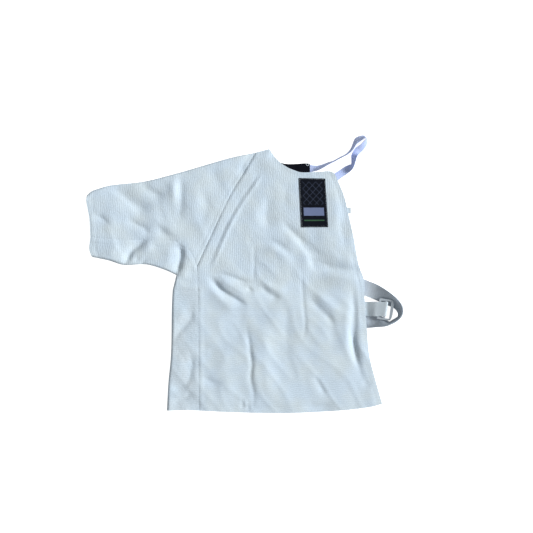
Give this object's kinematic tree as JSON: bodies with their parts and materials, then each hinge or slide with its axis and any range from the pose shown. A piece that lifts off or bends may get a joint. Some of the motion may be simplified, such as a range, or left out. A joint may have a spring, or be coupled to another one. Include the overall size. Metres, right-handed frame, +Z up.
{
  "type": "fencing plastron",
  "caption": "Right-handed half jacket of pale canvas laid flat, with one sleeve, a bare armhole edge, a neck tape and a waist strap with a slide buckle",
  "frame": {"origin": "centre of the footprint, on the surface the garment lies on", "axes": "+Z up out of the front, the thinnest way; +X along the longest extent, from the sleeve's cuff to the strap; +Y from hem to neck"},
  "size_m": [0.6289, 0.5546, 0.0305],
  "materials": {
    "canvas": "pale cool white ribbed canvas",
    "facing": "black woven tape",
    "tape": "pale violet herringbone tape",
    "webbing": "grey-white webbing",
    "webbing_light": "white webbing",
    "plastic": "white moulded plastic",
    "label": "black woven label"
  },
  "bodies": {
    "root": {"front_panel": "canvas", "raglan_sleeve": "canvas", "underarm_gusset": "canvas", "side_panel": "canvas", "back_panel": "canvas", "neck_facing": "facing", "neck_tape": "tape", "waist_strap": "webbing", "buckle_strap": "webbing_light", "slider": "plastic", "chest_label": "label", "armhole_tab": "webbing_light"}
  },
  "joints": []
}
